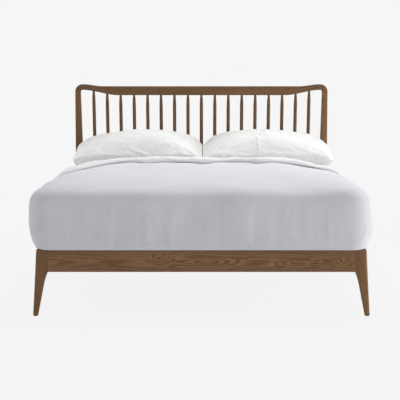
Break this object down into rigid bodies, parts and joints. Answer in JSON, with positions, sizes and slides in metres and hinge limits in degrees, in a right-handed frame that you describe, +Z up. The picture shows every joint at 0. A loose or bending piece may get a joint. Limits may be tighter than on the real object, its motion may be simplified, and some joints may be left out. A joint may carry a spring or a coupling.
{
  "type": "spindle bed",
  "caption": "Low timber bed with a spindle headboard on tapered posts, splayed round front legs and slatted base, dressed with mattress, turned-back duvet and pillows.",
  "frame": {"origin": "on the floor, in the middle of the whole bed's length and width", "axes": "+X to the right seen from the foot, +Y from the foot to the headboard, +Z up"},
  "size_m": [1.7612, 2.1734, 1.131],
  "materials": {
    "stained_ash": "satin",
    "pine": "matte",
    "beech": "matte",
    "black_steel": "matte",
    "zinc_plated_steel": "satin",
    "webbing": "matte",
    "nylon": "matte",
    "mattress_ticking": "matte",
    "duvet_cotton": "matte",
    "pillow_cotton": "matte"
  },
  "bodies": {
    "bed_frame": {"crest_rail": "stained_ash", "lower_spindle_rail": "stained_ash", "head_rail": "stained_ash", "post_left": "stained_ash", "post_right": "stained_ash", "foot_rail": "stained_ash", "side_rail_left": "stained_ash", "side_rail_right": "stained_ash", "front_leg_left": "stained_ash", "front_leg_right": "stained_ash", "spindle_01": "stained_ash", "spindle_02": "stained_ash", "spindle_03": "stained_ash", "spindle_04": "stained_ash", "spindle_05": "stained_ash", "spindle_06": "stained_ash", "spindle_07": "stained_ash", "spindle_08": "stained_ash", "spindle_09": "stained_ash", "spindle_10": "stained_ash", "spindle_11": "stained_ash", "spindle_12": "stained_ash", "spindle_13": "stained_ash", "spindle_14": "stained_ash", "spindle_15": "stained_ash", "spindle_16": "stained_ash", "spindle_17": "stained_ash", "slat_01": "pine", "slat_02": "pine", "slat_03": "pine", "slat_04": "pine", "slat_05": "pine", "slat_06": "pine", "slat_07": "pine", "slat_08": "pine", "slat_09": "pine", "slat_10": "pine", "slat_11": "pine", "slat_12": "pine", "slat_13": "pine", "slat_14": "pine", "slat_ledge_left": "pine", "slat_ledge_right": "pine", "mid_beam": "black_steel", "beam_hanger_foot": "black_steel", "beam_hanger_head": "black_steel", "corner_brackets": "black_steel", "bracket_bolts": "zinc_plated_steel", "threaded_inserts": "zinc_plated_steel", "fitting_screws": "zinc_plated_steel", "ledge_screws": "zinc_plated_steel", "slat_screws": "zinc_plated_steel", "joint_dowels": "beech", "slat_strap_left": "webbing", "slat_strap_right": "webbing", "foot_glides": "nylon"},
    "mattress_and_duvet": {"mattress": "mattress_ticking", "duvet": "duvet_cotton"},
    "pillow_left": {"pillow_left": "pillow_cotton"},
    "pillow_right": {"pillow_right": "pillow_cotton"}
  },
  "joints": [
    {"name": "mattress_lift", "type": "slide", "parent": "bed_frame", "child": "mattress_and_duvet", "axis": [0, 0, 1], "range_m": [0, 0.3]},
    {"name": "pillow_left_lift", "type": "slide", "parent": "mattress_and_duvet", "child": "pillow_left", "axis": [0, 0, 1], "range_m": [0, 0.3]},
    {"name": "pillow_right_lift", "type": "slide", "parent": "mattress_and_duvet", "child": "pillow_right", "axis": [0, 0, 1], "range_m": [0, 0.3]}
  ]
}
